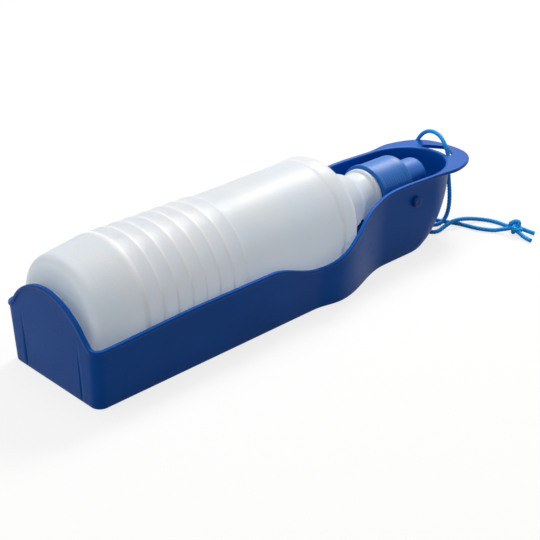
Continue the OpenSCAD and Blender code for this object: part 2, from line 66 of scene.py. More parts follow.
def aim_matrix(eye, aim, roll=0.0):
    """A matrix that puts a camera or lamp at eye, looking at aim."""
    back = (eye - aim).normalized()
    right = Vector((0, 0, 1)).cross(back).normalized()
    up = back.cross(right)
    turned = right * math.cos(roll) + up * math.sin(roll)
    upright = up * math.cos(roll) - right * math.sin(roll)
    turn = Matrix((turned, upright, back)).transposed().to_4x4()
    return Matrix.Translation(eye) @ turn


lens = bpy.data.cameras.new("studio_camera")
lens.lens = 80.147
lens.sensor_width = 36
lens.clip_start = 0.01
camera = bpy.data.objects.new("studio_camera", lens)
bpy.context.collection.objects.link(camera)
camera.matrix_world = aim_matrix(EYE, AIM, ROLL)
bpy.context.scene.camera = camera
bpy.context.scene.view_settings.view_transform = "Standard"
print("camera at", [round(v, 3) for v in EYE], "looking", round((AIM - EYE).length, 3), "m ahead")

# %% [markdown]
# ## Meshes from lists
#
# Nearly every piece here is a net of rings: the cord, the turned bottle and cap, and even the
# trough, whose rings are its wall sections. So there is one helper that makes a mesh from
# points and faces, and one that joins rings into a net of quads. Modelling by hand in Edit Mode
# would give the same net, but the formulas keep it equal to the solids.

# %% Mesh helpers
def shade_smooth(mesh, sharp):
    """Smooth shading, but edges over sharp degrees stay crisp."""
    for polygon in mesh.polygons:
        polygon.use_smooth = True
    mesh.set_sharp_from_angle(angle=math.radians(sharp))


def mesh_piece(name, points_mm, faces, sharp=35):
    """A smooth-shaded object from points in millimetres."""
    mesh = bpy.data.meshes.new(name)
    mesh.from_pydata([tuple(c * MM for c in p) for p in points_mm], [], faces)
    net = bmesh.new()
    net.from_mesh(mesh)
    bmesh.ops.recalc_face_normals(net, faces=net.faces)
    net.to_mesh(mesh)
    net.free()
    shade_smooth(mesh, sharp)
    piece = bpy.data.objects.new(name, mesh)
    bpy.context.collection.objects.link(piece)
    return piece


def ring_faces(count, sides, closed=False):
    """Quads between rings that follow each other, each ring with the same number of points."""
    quads = []
    for i in range(count if closed else count - 1):
        a, b = i * sides, ((i + 1) % count) * sides
        for k in range(sides):
            n = (k + 1) % sides
            quads.append((a + k, a + n, b + n, b + k))
    return quads


# %% [markdown]
# ## The lanyard
#
# The lanyard is one braided cord 2.4 mm thick. It goes through the slot in the lip and both
# halves lie on the ground as far as the knot. A curve with a round bevel would be the quick way,
# but a braid has relief, so the cord is a mesh tube: rings are laid along a smooth path, and a
# small pattern of strands that pass over and under each other raises each point.

# %% The cord's two routes
CORD_D = 2.4
FRONT_ROUTE = [
    (127, -8, 41.4), (126.6, -9.2, 37), (126, -10.2, 31), (126.4, -10.9, 25), (127, -11.4, 19),
    (127, -11.8, 13.4), (126.4, -11.9, 8.6), (125, -11.8, 4.9), (122.6, -11.5, 2.5),
    (119.4, -10.9, 1.4), (116, -8.8, 1.2), (112.3, -6.9, 1.2), (108.9, -8.3, 1.2),
    (107.5, -11.7, 1.2), (108.9, -15.1, 1.2), (112.3, -16.5, 1.2), (116.9, -16, 1.4),
    (121, -16.3, 2.6), (125.1, -17.4, 3.8), (129.8, -18.4, 3.7), (135.1, -19.2, 2.7),
    (139.6, -20.8, 1.8), (143.2, -23.8, 1.3), (145.6, -28.2, 1.2), (146.6, -33.4, 1.2),
    (146.2, -38.8, 1.5), (145.2, -43.4, 2.9), (144.9, -47.6, 3.8), (147.1, -51.4, 2.4),
    (149.3, -55.9, 1.3),
]
BACK_ROUTE = [
    (127, -8, 41.4), (126.4, -6.8, 45), (126.8, -4.4, 47.8), (127.8, -1.2, 49.6), (128.8, 2.8, 50.4),
    (129.8, 7, 50), (131, 11, 48.4), (132.6, 15, 45.6), (134.2, 18.6, 41.8), (135.2, 21.4, 37),
    (135.4, 23.4, 31), (134.8, 24.4, 24.6), (133.4, 24.8, 18), (131, 24.4, 11.8), (127.8, 22.8, 6.6),
    (124.4, 19.6, 3), (122, 15, 1.4), (121, 9.6, 1.2), (121, 4, 1.2), (121.8, -1.2, 1.2),
    (123.2, -5.8, 1.2), (125, -10.2, 1.2), (127, -14.2, 1.2), (128.8, -18.4, 1.2), (130, -23, 1.2),
    (131.2, -28, 1.2), (133.4, -33, 1.2), (136.4, -37.6, 1.3), (139.4, -41.8, 2.4), (141.2, -46.2, 3.8),
    (141.1, -50.6, 2.8), (140.6, -55, 1.5), (140, -59.6, 1.2),
]
KNOT_AT, KNOT_REACH = (142.9, -47.3, 4.4), 4.4


def smooth_path(route, spacing=0.3):
    """A Catmull-Rom curve through the route's points, resampled at an even spacing."""
    p = np.array(route, float)
    p = np.vstack([2 * p[0] - p[1], p, 2 * p[-1] - p[-2]])
    t = np.linspace(0, 1, 12, endpoint=False)[:, None]
    runs = []
    for a, b, c, d in zip(p[:-3], p[1:-2], p[2:-1], p[3:]):
        runs.append(0.5 * (2 * b + (c - a) * t + (2 * a - 5 * b + 4 * c - d) * t**2
                           + (3 * b - a - 3 * c + d) * t**3))
    fine = np.vstack(runs + [p[-2:-1]])
    along = np.r_[0, np.cumsum(np.linalg.norm(np.diff(fine, axis=0), axis=1))]
    at = np.linspace(0, along[-1], int(along[-1] / spacing) + 1)
    return np.column_stack([np.interp(at, along, fine[:, k]) for k in range(3)]), along[-1]


front_path, front_length = smooth_path(FRONT_ROUTE)
back_path, back_length = smooth_path(BACK_ROUTE)
print("cord halves, mm:", round(front_length, 1), round(back_length, 1))

# %% Rings along a path, with a braid on them
def path_frames(path):
    """For each point of the path two directions across it, carried along without twisting."""
    ahead = np.gradient(path, axis=0)
    ahead /= np.linalg.norm(ahead, axis=1)[:, None]
    side = np.cross(ahead[0], (0.0, 0.2, 1.0))
    sides = []
    for way in ahead:
        side = side - way * side.dot(way)
        side = side / np.linalg.norm(side)
        sides.append(side)
    sides = np.array(sides)
    return sides, np.cross(ahead, sides)


def braid(turn, along, strands=5, cell=1.8):
    """How high the braid stands, from 0 in its grooves to 1 on its crests."""
    one = turn * strands + along / cell
    other = turn * strands - along / cell
    over = (np.floor(one) + np.floor(other)) % 2 == 0
    crest = np.where(over, np.sin(np.pi * (one % 1)), np.sin(np.pi * (other % 1)))
    edge = np.where(over, np.sin(np.pi * (other % 1)), np.sin(np.pi * (one % 1)))
    return crest * (0.6 + 0.4 * edge)


def braided_cord(name, path, radius, relief=0.28, sunk=0.85, sides=28):
    """A closed tube with the braid's relief, of which the share sunk lies under the radius."""
    one, two = path_frames(path)
    along = np.r_[0, np.cumsum(np.linalg.norm(np.diff(path, axis=0), axis=1))]
    turn = np.arange(sides) / sides
    height = braid(turn[None, :], along[:, None])
    reach = radius + relief * (height - sunk)
    angle = 2 * np.pi * turn
    rim = (one[:, None, :] * np.cos(angle)[None, :, None]
           + two[:, None, :] * np.sin(angle)[None, :, None])
    points = (path[:, None, :] + rim * reach[:, :, None]).reshape(-1, 3)
    faces = ring_faces(len(path), sides)
    last = (len(path) - 1) * sides
    faces += [tuple(range(sides - 1, -1, -1)), tuple(range(last, last + sides))]
    piece = mesh_piece(name, points, faces, sharp=60)
    value = piece.data.attributes.new("braid_height", "FLOAT", "POINT")
    value.data.foreach_set("value", height.reshape(-1).astype(np.float32))
    return piece


cord_front = braided_cord("cord_front", front_path, CORD_D / 2)
cord_back = braided_cord("cord_back", back_path, CORD_D / 2)
print("cord faces:", len(cord_front.data.polygons) + len(cord_back.data.polygons))

# %% [markdown]
# The knot is an overhand knot. Its cord follows the curve that mathematicians call a trefoil,
# pulled tight, so that the turns lie against each other. Simulating the tightening would take
# long, and the trefoil is already the shape that an overhand knot takes.

# %% Tie the knot
def tight_knot(name, centre, reach):
    """A trefoil in a ball of the given reach. The tight cord is a little fuller than elsewhere."""
    t = np.linspace(0, 2 * np.pi, 150)
    shape = np.column_stack([np.sin(t) + 2 * np.sin(2 * t), np.cos(t) - 2 * np.cos(2 * t),
                             -1.9 * np.sin(3 * t)])
    own_reach = 3.0
    shape *= (reach - CORD_D / 2) / own_reach
    lean = np.array(Matrix.Rotation(math.radians(70), 3, "Y")
                    @ Matrix.Rotation(math.radians(25), 3, "X"))
    path = shape @ lean.T + np.array(centre)
    return braided_cord(name, path, CORD_D * 0.55)


knot = tight_knot("cord_knot", KNOT_AT, KNOT_REACH)
for piece, node in ((cord_front, "lanyard_front"), (cord_back, "lanyard_back"),
                    (knot, "lanyard_knot")):
    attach(piece, "trough")
    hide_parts(node)
print("knot box, mm:", [round(v * 1000, 1) for v in knot.dimensions])

# %% [markdown]
# ## Materials
#
# Moulded plastic looks like plastic because of small things: a faint grain that breaks up the
# highlight, slow changes of tone where the melt flowed, and scuffs that make it a little rougher.
# Several blues share those effects, so they are one node group with named inputs. The group only
# puts out a mask, a roughness and a normal. The shader stays in each material.

# %% Node helpers
def set_inputs(tree, node, **values):
    """Sets a node's inputs by name, or i and a number; an output given as a value is linked."""
    for name, value in values.items():
        key = int(name[1:]) if name[1:].isdigit() else name.replace("_", " ")
        if isinstance(value, bpy.types.NodeSocket):
            tree.links.new(value, node.inputs[key])
        else:
            node.inputs[key].default_value = value


def add_node(tree, kind, **values):
    """A node with the given inputs."""
    node = tree.nodes.new(kind)
    set_inputs(tree, node, **values)
    return node


def add_maths(tree, operation, *values):
    """A Math node's output."""
    node = add_node(tree, "ShaderNodeMath", **{f"i{k}": v for k, v in enumerate(values)})
    node.operation = operation
    return node.outputs[0]


def add_blend(tree, share, one, other):
    """A colour between one and other."""
    node = tree.nodes.new("ShaderNodeMix")
    node.data_type = "RGBA"
    set_inputs(tree, node, i0=share, i6=one, i7=other)
    return node.outputs[2]


def add_mix(tree, share, one, other):
    """A shader between one and other."""
    return add_node(tree, "ShaderNodeMixShader", Fac=share, i1=one, i2=other).outputs[0]


def object_place(tree):
    """The place on the piece, in the piece's own coordinates."""
    return tree.nodes.new("ShaderNodeTexCoord").outputs["Object"]


def stored_value(tree, name):
    """A value that was kept on the piece's points."""
    node = tree.nodes.new("ShaderNodeAttribute")
    node.attribute_name = name
    return node.outputs["Fac"]


# %% The moulded surface, shared by the plastics
def make_moulded_surface():
    """Grain, slow tone changes and light scuffs on any plastic, in object coordinates."""
    tree = bpy.data.node_groups.new("moulded_surface", "ShaderNodeTree")
    for way, labels in (("INPUT", ("Roughness", "Grain", "Scuffs")), ("OUTPUT", ("Tone", "Roughness"))):
        for label in labels:
            tree.interface.new_socket(label, in_out=way, socket_type="NodeSocketFloat")
    tree.interface.new_socket("Normal", in_out="OUTPUT", socket_type="NodeSocketVector")
    start, end = tree.nodes.new("NodeGroupInput"), tree.nodes.new("NodeGroupOutput")
    place = object_place(tree)
    flow = add_node(tree, "ShaderNodeTexNoise", Vector=place, Scale=28.0, Detail=3.0)
    fine = add_node(tree, "ShaderNodeTexNoise", Vector=place, Scale=1500.0, Detail=2.0)
    long_way = add_node(tree, "ShaderNodeMapping", Vector=place, Scale=(60.0, 420.0, 420.0))
    rubbed = add_node(tree, "ShaderNodeTexNoise", Vector=long_way.outputs[0], Scale=1.0, Detail=4.0)
    marks = add_node(tree, "ShaderNodeMapRange", Value=rubbed.outputs[0], From_Min=0.56, From_Max=0.8)
    rough = add_maths(tree, "MULTIPLY", marks.outputs[0], start.outputs["Scuffs"])
    rough = add_maths(tree, "ADD", rough, start.outputs["Roughness"])
    bump = add_node(tree, "ShaderNodeBump", Height=fine.outputs[0], Distance=0.0002,
                    Strength=start.outputs["Grain"])
    set_inputs(tree, end, Tone=flow.outputs[0], Roughness=rough, Normal=bump.outputs[0])
    return tree


moulded_surface = make_moulded_surface()
print("group sockets:", [s.name for s in moulded_surface.interface.items_tree])

# %% Coloured plastic
def srgb(red, green, blue):
    """The linear colour of an 8-bit screen colour."""
    def linear(c):
        c /= 255
        return c / 12.92 if c <= 0.04045 else ((c + 0.055) / 1.055) ** 2.4
    return (linear(red), linear(green), linear(blue), 1.0)


def dress(piece, material, body, node):
    """Gives a piece its finish in a material slot and its body, and hides the solid that it stands for."""
    piece.data.materials.append(material)
    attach(piece, body)
    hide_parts(node)


def new_material(name):
    """A material with an empty tree, its shader and its output."""
    material = bpy.data.materials.new(name)
    material.use_nodes = True
    tree = material.node_tree
    tree.nodes.clear()
    shader = tree.nodes.new("ShaderNodeBsdfPrincipled")
    output = tree.nodes.new("ShaderNodeOutputMaterial")
    tree.links.new(shader.outputs[0], output.inputs[0])
    return material, tree, shader, output


def add_moulded_surface(tree, roughness, grain, scuffs):
    """The shared group in a material, with this material's values."""
    surface = tree.nodes.new("ShaderNodeGroup")
    surface.node_tree = moulded_surface
    set_inputs(tree, surface, Roughness=roughness, Grain=grain, Scuffs=scuffs)
    return surface.outputs


def moulded_plastic(name, deep, light, roughness, shine, grain=0.25, scuffs=0.12):
    """Dyed plastic: its colour moves between deep and light with the flow of the melt."""
    material, tree, shader, output = new_material(name)
    surface = add_moulded_surface(tree, roughness, grain, scuffs)
    set_inputs(tree, shader, Base_Color=add_blend(tree, surface["Tone"], deep, light),
               Roughness=surface["Roughness"], Normal=surface["Normal"], Specular_IOR_Level=shine)
    return material


trough_blue = moulded_plastic("trough_blue", srgb(1, 76, 162), srgb(2, 92, 186), 0.4, 0.11)
nozzle_blue = moulded_plastic("nozzle_blue", srgb(6, 90, 178), srgb(12, 110, 200), 0.5, 0.5)
# The pins' blue is the trough's blue made darker: painted shade on the pin heads.
shaded_pin_blue = moulded_plastic("shaded_pin_blue", srgb(4, 62, 140), srgb(6, 72, 154), 0.34, 0.12)
print("plastics:", trough_blue.name, nozzle_blue.name, shaded_pin_blue.name)

# %% [markdown]
# The braid's colour is painted light and shade: its grooves get a painted shade, and its crests a
# painted highlight. The height that was stored on the cord's points drives the colour. A texture
# could draw the strands too, but it would drift off the relief that the mesh already has.

# %% Braided cord material
def braided_fibre(name, shaded_groove, crest):
    """Polyester yarn: colour from the braid's stored height, painted shade in the grooves and painted
    highlight on the crests, and hair-fine fibres in the bump.
    """
    material, tree, shader, output = new_material(name)
    fibres = add_node(tree, "ShaderNodeTexNoise", Vector=object_place(tree), Scale=2600.0, Detail=3.0)
    share = add_maths(tree, "MULTIPLY", stored_value(tree, "braid_height"),
                      add_maths(tree, "ADD", fibres.outputs[0], 0.5))
    bump = add_node(tree, "ShaderNodeBump", Height=fibres.outputs[0], Distance=0.0002, Strength=0.5)
    set_inputs(tree, shader, Base_Color=add_blend(tree, share, shaded_groove, crest), Roughness=0.6,
               Normal=bump.outputs[0], Specular_IOR_Level=0.15)
    return material


# The grooves' colour is a painted shade, and the crests' colour is a painted highlight.
cord_blue = braided_fibre("cord_blue", srgb(0, 104, 236), srgb(64, 204, 255))
for piece in (cord_front, cord_back, knot):
    piece.data.materials.append(cord_blue)
print("braid height from", round(min(v.value for v in knot.data.attributes["braid_height"].data), 2))

# %% [markdown]
# ## The trough
#
# The trough is one injection moulding. Its wall is the same everywhere, so it is drawn as many
# upright sections set round its plan: across the end wall, round a corner, along the side, and
# round the nose of the scoop. Each section goes up the outside, over the rim and down the inside.
# Subdividing a simple cage would also work, but a cage can't hold the exact widths that the
# bottle and the pivot need.

# %% The trough's sizes, mm
PIVOT_X, AXIS_Z = 78.517, 32.5
PIN_X, PIN_Z = PIVOT_X + 2.4, AXIS_Z - 1.6
SHOULDER_X, END_X = -66.2, -215.8
WALL, FLOOR_T, SIDE_RISE = 1.7, 1.1, 46.5
BODY_HALF, SWELL, SCOOP_HALF = 31.801, 2.6, 22.9
DRAFT, SCOOP_DRAFT, END_DRAFT = 0.046, 0.016, 0.03
CORNER_R, EDGE_R = 5.0, 1.0
SIDE_H, CORNER_H, DIP_H, LIP_H, CREST_H = 31.5, 29.7, 22.8, 41.5, 0.8
ARCH_RISE, ARCH_HALF, ARCH_SOFT, ARCH_CURVE, ARCH_LAST = 18.5, 27.0, 6.0, 0.6, 1.5
DIP_FROM, DIP_TO = SHOULDER_X - 47.8, SHOULDER_X - 13.8
RISE_FROM, RISE_TO, RISE_LAST = SHOULDER_X - 13.4, SHOULDER_X + 31.7, 1.9
CREST_FROM, CREST_TO = SHOULDER_X + 32.2, SHOULDER_X + 54.2
NOSE_LOW_X, NOSE_X, BOWL_FULL_H, BOWL_CURVE = -0.6, 17.4, 31.0, 1.72
SCOOP_REACH, FLOOR_REACH, LIP_X, LIP_SIDE, LIP_CURVE = 47.1, 21.4, 60.8, 2.8, 2.8
BEAD_OUT, BEAD_H, LIP_T = 0.6, 1.7, 2.3
GROOVE_Y, GROOVE_DEPTH, GROOVE_HALF = 20.4, 0.8, 0.8
SLOT_BACK, SLOT_R, SLOT_MIDDLE, SLOT_HALF, SLOT_END_R, SLOT_BULGE_R = 20.7, 21.4, 22.7, 7.4, 3.0, 4.0
PIN_HOLE_R = 3.12


def step(a, b, x):
    """A smooth rise from 0 at a to 1 at b."""
    u = min(1.0, max(0.0, (x - a) / (b - a)))
    return u * u * (3 - 2 * u)


def between(a, b, k):
    """The value a share k of the way from a to b."""
    return a + (b - a) * k


print("trough from", round(END_X + PIVOT_X, 1), "to", round(LIP_X + PIVOT_X, 1), "mm")

# %% The shape of its walls
def half_width(x):
    """Half the trough's width at the floor: a swell at the shoulder, then the narrow scoop."""
    narrow = (BODY_HALF + SWELL - SCOOP_HALF) * step(SHOULDER_X, SHOULDER_X + SIDE_RISE, x)
    return BODY_HALF + SWELL * step(SHOULDER_X - 16.5, SHOULDER_X, x) - narrow


def side_rim(x):
    """Height of the rim beside the bottle."""
    rise = between(CORNER_H, SIDE_H, step(END_X, END_X + 60, x))
    rise -= (SIDE_H - DIP_H) * step(DIP_FROM, DIP_TO, x)
    rise += (LIP_H - DIP_H - RISE_LAST) * step(RISE_FROM, RISE_TO, x)
    return rise + (CREST_H + RISE_LAST) * step(CREST_FROM, CREST_TO, x)


def end_rim(y):
    """Height of the arched rim on the end wall, which runs out softly round the corners."""
    u = min(abs(y), ARCH_HALF - ARCH_LAST)
    arch = ARCH_RISE * math.cos(math.pi / 2 * u / ARCH_HALF) ** ARCH_CURVE
    arch -= ARCH_CURVE / ARCH_LAST * arch * (abs(y) - u)
    soft = max(0.0, ARCH_SOFT - abs(arch))
    return CORNER_H + max(0.0, arch) + soft * soft / (4 * ARCH_SOFT)


def opening(z):
    """How far the scoop has opened from its floor to its rim."""
    u = min(1.0, max(0.0, (BOWL_FULL_H - z) / BOWL_FULL_H))
    return math.sqrt(1 - u**BOWL_CURVE)


def around(station):
    """Place of an end or corner station along the rim, from the middle of the end wall."""
    region, at = station
    if region == "end":
        return at
    return BODY_HALF - CORNER_R + DRAFT * CORNER_H + CORNER_R * math.radians(at)


def rim_height(station):
    """Height of the rim at a station."""
    region, at = station
    if region in ("end", "corner"):
        return end_rim(around(station))
    return side_rim(at) if region == "side" else LIP_H


print("half width at the shoulder:", round(half_width(SHOULDER_X), 2), "mm")

# %% A point on the wall
def groove_depth(y, z):
    """How deep the two upright grooves are cut into the outside of the end wall."""
    if z <= EDGE_R + 0.1:
        return 0.0
    return GROOVE_DEPTH * max(0.0, 1 - z / CORNER_H) * step(GROOVE_HALF, 0, abs(abs(y) - GROOVE_Y))


def wall_point(station, z, off, inner=False):
    """A point of the outer skin, or of the inner one, at height z, moved outward by off."""
    region, at = station
    d = off - (WALL if inner else 0.0)
    back = END_X - END_DRAFT * z
    flat = BODY_HALF - CORNER_R + DRAFT * z
    if region == "end":
        return (back - d + (0.0 if inner else groove_depth(at, z)), at, z)
    if region == "corner":
        r = CORNER_R + d
        a = math.radians(at)
        return (back + CORNER_R - r * math.cos(a), flat + r * math.sin(a), z)
    if region == "side":
        lean = between(DRAFT, SCOOP_DRAFT, step(SHOULDER_X, SHOULDER_X + SIDE_RISE, at))
        return (at, half_width(at) + lean * z + d, z)
    grown = opening(z - FLOOR_T if inner else z)
    length = between(FLOOR_REACH - NOSE_LOW_X, SCOOP_REACH - NOSE_X, grown)
    a = math.radians(at)
    return (between(NOSE_LOW_X, NOSE_X, grown) + (length + d) * math.sin(a),
            (SCOOP_HALF + SCOOP_DRAFT * z + d) * math.cos(a), z)


print("foot of the nose:", [round(v, 1) for v in wall_point(("nose", 90), 0, 0)], "mm")

# %% The rim, which grows into the lip
def rim_point(station, k, z):
    """A point over the rim: k is 0 at the wall's outside and 1 at the edge of bead or lip."""
    region, at = station
    wall = Vector(wall_point(station, z, 0.0))
    edge = Vector(wall_point(station, z, BEAD_OUT))
    if region == "nose":
        s = math.sin(math.radians(at))
        wide = SCOOP_HALF + SCOOP_DRAFT * LIP_H + LIP_SIDE
        lip = Vector((between(NOSE_X, LIP_X, s), wide * max(0.0, 1 - s**LIP_CURVE) ** (1 / LIP_CURVE), z))
        edge = edge.lerp(lip, step(0, 25, at))
    return tuple(wall.lerp(edge, k))


def bead_height(station):
    """Height of the rim's bead: taller on the steep arch, and growing into the lip's thickness."""
    region, at = station
    if region == "nose":
        return between(BEAD_H, LIP_T, step(0, 40, at))
    if region == "side":
        return BEAD_H
    along = abs(around(station))
    return BEAD_H * min(2.5, math.hypot(1, end_rim(along) - end_rim(along + 1)))


def section(station):
    """One upright section: up the outside, over the rim and down the inside."""
    top = rim_height(station)
    thick = bead_height(station)
    sunk = 0.3 * step(10, 40, station[1]) if station[0] == "nose" else 0.0
    lip_top = top - sunk
    under = top - thick
    half = (thick - sunk) / 2
    points = []
    for turn in range(5):
        a = math.pi / 2 * turn / 4
        points.append(wall_point(station, EDGE_R * (1 - math.cos(a)), EDGE_R * (math.sin(a) - 1)))
    for k in range(1, 15):
        points.append(wall_point(station, between(EDGE_R, under - 0.4, k / 14), 0.0))
    reach = math.dist(rim_point(station, 0, top), rim_point(station, 1, top))
    soft = min(0.45, 0.6 / reach)
    points += [rim_point(station, 0.25 * soft, under - 0.06), rim_point(station, soft, under)]
    points += [rim_point(station, between(soft, 1 - soft, k / 4), under) for k in range(1, 5)]
    for turn in range(1, 6):
        a = math.pi * turn / 6
        edge = 1 - soft * (1 - math.sin(a))
        points.append(rim_point(station, edge, under + half * (1 - math.cos(a))))
    points += [rim_point(station, between(1 - soft, 0.3 + 0.2 * soft, k / 4), lip_top) for k in range(5)]
    points += [rim_point(station, 0.12, between(lip_top, top, 0.35))]
    points += [wall_point(station, top - 0.12 * sunk, -0.05), wall_point(station, top, -0.35)]
    points += [wall_point(station, top, 0.85, True)]
    points += [wall_point(station, top - 0.12, 0.4, True), wall_point(station, top - 0.4, 0.1, True)]
    low = FLOOR_T + EDGE_R
    points += [wall_point(station, between(top - 0.8, low, k / 12), 0.0, True) for k in range(13)]
    for turn in range(1, 5):
        a = math.pi / 2 * turn / 4
        inward = EDGE_R * (math.cos(a) - 1)
        points.append(wall_point(station, FLOOR_T + EDGE_R * (1 - math.sin(a)), inward, True))
    return points


print("points in a section:", len(section(("side", 0.0))))

# %% Set the sections round the plan
def trough_stations():
    """The stations from the middle of the end wall round to the tip of the nose."""
    flat = BODY_HALF - CORNER_R
    across = sorted(set([round(v, 2) for v in np.arange(0, flat, 1.5)]
                        + [round(GROOVE_Y + k * GROOVE_HALF / 3, 2) for k in range(-3, 4)]))
    stations = [("end", y) for y in across if flat - y > 0.7]
    stations += [("corner", a) for a in np.arange(0, 90.1, 9)]
    stations += [("side", x) for x in np.arange(END_X + 8, SHOULDER_X - 52, 6)]
    stations += [("side", x) for x in np.arange(SHOULDER_X - 50, SHOULDER_X + 48, 2)]
    stations += [("side", x) for x in (-15.0, -11.0, -7.0, -3.5)]
    return stations + [("nose", a) for a in np.arange(0, 90.1, 3)]


def build_trough():
    """The whole skin: half the sections and their mirror images, closed below and inside."""
    half = trough_stations()
    ring = [(s, 1) for s in half] + [(s, -1) for s in half[-2:0:-1]]
    points = []
    for station, side in ring:
        points += [(x + PIVOT_X, y * side, z) for x, y, z in section(station)]
    rows = len(section(half[0]))
    count = len(ring)
    faces = []
    for i in range(count):
        a, b = i * rows, ((i + 1) % count) * rows
        faces += [(a + j, b + j, b + j + 1, a + j + 1) for j in range(rows - 1)]
    first = next(i for i, s in enumerate(half) if s[0] == "corner")
    for row, turned in ((0, False), (rows - 1, True)):
        for i in range(first, len(half) - 1):
            a, b = i * rows + row, (i + 1) * rows + row
            c, d = ((count - i - 1) % count) * rows + row, ((count - i) % count) * rows + row
            quad = (a, b, c, d) if i < len(half) - 2 else (a, b, d)
            faces.append(quad if turned else quad[::-1])
        wall = [(count - i) % count * rows + row for i in range(first, 0, -1)]
        wall += [i * rows + row for i in range(first + 1)]
        faces.append(tuple(wall) if turned else tuple(wall[::-1]))
    return mesh_piece("trough_skin", points, faces, sharp=50)


trough_skin = build_trough()
print("trough faces:", len(trough_skin.data.polygons))

# %% [markdown]
# The slot in the lip and the two pin holes are cut with Boolean modifiers. They could be modelled
# into the net, but a cut keeps the net's even rows. The cutters are removed once the result is
# made, so nothing of them is left in the scene.

# %% Cut the slot and the pin holes
def cut_with(piece, cutters, operation="DIFFERENCE", sharp=50):
    """Subtracts the cutters from the piece, or adds them, and then removes them."""
    for cutter in cutters:
        cut = piece.modifiers.new("cut", "BOOLEAN")
        cut.operation, cut.object, cut.solver = operation, cutter, "EXACT"
    bpy.context.view_layer.update()
    seen = piece.evaluated_get(bpy.context.evaluated_depsgraph_get())
    mesh = bpy.data.meshes.new_from_object(seen)
    piece.modifiers.clear()
    old, piece.data = piece.data, mesh
    bpy.data.meshes.remove(old)
    shade_smooth(mesh, sharp)
    for cutter in cutters:
        bpy.data.objects.remove(cutter)


def prism(name, outline, low, high, across=False):
    """A solid from its outline between two places, upright or across the trough."""
    count = len(outline)
    points = [(a, at, b) if across else (a, b, at) for at in (low, high) for a, b in outline]
    faces = ring_faces(2, count) + [tuple(range(count))[::-1], tuple(range(count, 2 * count))]
    return mesh_piece(name, points, faces)


def arc(x, y, radius, start, end, count):
    """Points of a circle's arc about a centre."""
    return [(x + radius * math.cos(a), y + radius * math.sin(a)) for a in np.linspace(start, end, count)]


def slot_outline():
    """The slot's plan: an arc that follows the scoop's mouth inside, and a bulge outside."""
    turn_x = PIVOT_X + SCOOP_REACH - SLOT_BACK
    end_x = turn_x + SLOT_MIDDLE
    lean = math.atan2(SLOT_HALF, SLOT_BULGE_R)
    lean -= math.asin((SLOT_BULGE_R - SLOT_END_R) / math.hypot(SLOT_HALF, SLOT_BULGE_R))
    turn = math.pi / 2 - lean
    end = arc(end_x, SLOT_HALF, SLOT_END_R, math.pi * 0.9, turn, 14)
    bulge = arc(end_x + SLOT_BULGE_R, 0, SLOT_BULGE_R, turn, -turn, 15)
    return arc(turn_x, 0, SLOT_R, -0.42, 0.42, 25) + end + bulge + [(x, -y) for x, y in end[::-1]]


pin_hole = arc(PIN_X, PIN_Z, PIN_HOLE_R, 0, 2 * math.pi, 49)[:-1]
cut_with(trough_skin, [prism("slot_cutter", slot_outline(), LIP_H - 4.7, LIP_H + 3),
                       prism("near_hole", pin_hole, -18, -30, across=True),
                       prism("far_hole", pin_hole, 18, 30, across=True)])
dress(trough_skin, trough_blue, "trough", "trough")
print("trough faces after the cuts:", len(trough_skin.data.polygons))

# %% [markdown]
# ## Turned pieces
#
# The bottle, the cap, the nozzle and the pins are round about an axis. A Screw modifier on a
# profile would turn them, but a small function that writes the rings puts each point where it is
# wanted, and rounds each corner of the profile with a curve on the way.

# %% A profile with rounded corners, turned
def rounded(profile):
    """Points from [place, radius, rounding]: each corner becomes a curve of that size."""
    out = []
    for i, (x, r, soft) in enumerate(profile):
        if soft == 0 or i in (0, len(profile) - 1):
            out.append((x, r))
            continue
        here = Vector((x, r))
        a, b = Vector(profile[i - 1][:2]) - here, Vector(profile[i + 1][:2]) - here
        back = min(soft, 0.45 * a.length, 0.45 * b.length)
        start, end = here + a.normalized() * back, here + b.normalized() * back
        for k in range(6):
            t = k / 5
            out.append(tuple((1 - t) ** 2 * start + 2 * t * (1 - t) * here + t * t * end))
    return out


def turned(name, profile, sides=128, sharp=40, across=False):
    """A piece turned from [place from the pivot, radius], about the bottle's axis or the pins'."""
    points, rings, faces = [], [], []
    for x, r in profile:
        count = sides if r > 0.0005 else 1
        rings.append(list(range(len(points), len(points) + count)))
        for k in range(count):
            a = 2 * math.pi * k / sides
            u, v = r * math.sin(a), r * math.cos(a)
            points.append((PIN_X + u, x, PIN_Z + v) if across else (PIVOT_X + x, u, AXIS_Z + v))
    for a, b in zip(rings, rings[1:] + rings[:1]):
        if len(a) == 1 and len(b) == 1:
            continue
        for k in range(sides):
            n = (k + 1) % sides
            quad = [a[k % len(a)], b[k % len(b)], b[n % len(b)], a[n % len(a)]]
            faces.append(tuple(dict.fromkeys(quad)))
    return mesh_piece(name, points, faces, sharp)


print("points on one rounded corner:", len(rounded([(0, 0, 0), (0, 5, 1), (5, 5, 0)])) - 2)

# %% [markdown]
# ## The squeeze bottle
#
# The bottle is blow moulded from undyed polyethylene. Its rings are shallow hollows between thin
# ridges, and the dish in its base gives it a stiff foot. Its wall has an inner skin too, because
# light that goes into a thin shell has to come out of it somewhere.

# %% The bottle's outer profile
BELLY_R, SHOULDER_R, FOOT_X = 30.2, 31.0, -211.1
RIDGES, PITCH, HOLLOW, BAND_DROP = 8, 8.3, 0.3, 1.0
FIRST_RIDGE = FOOT_X + 26.1
LAST_RIDGE = FIRST_RIDGE + (RIDGES - 1) * PITCH
CREASE_X, CREASE_R, NECK_R, MOUTH_X = -41.8, 17.6, 11.9, 0.6
RING_BACK, RING_FRONT = -16.2, -14.0
BOTTLE_WALL, FOOT_ROUND, FOOT_TAPER, DISH_R, STAND_R = 1.1, 4.5, 2.8, 8.6, 12.6
DOME_R, DOME_SLOPE, STEP_X, STEP_UP, STEP_LONG = 6.0, math.radians(52), SHOULDER_X + 3.2, 0.7, 2.8


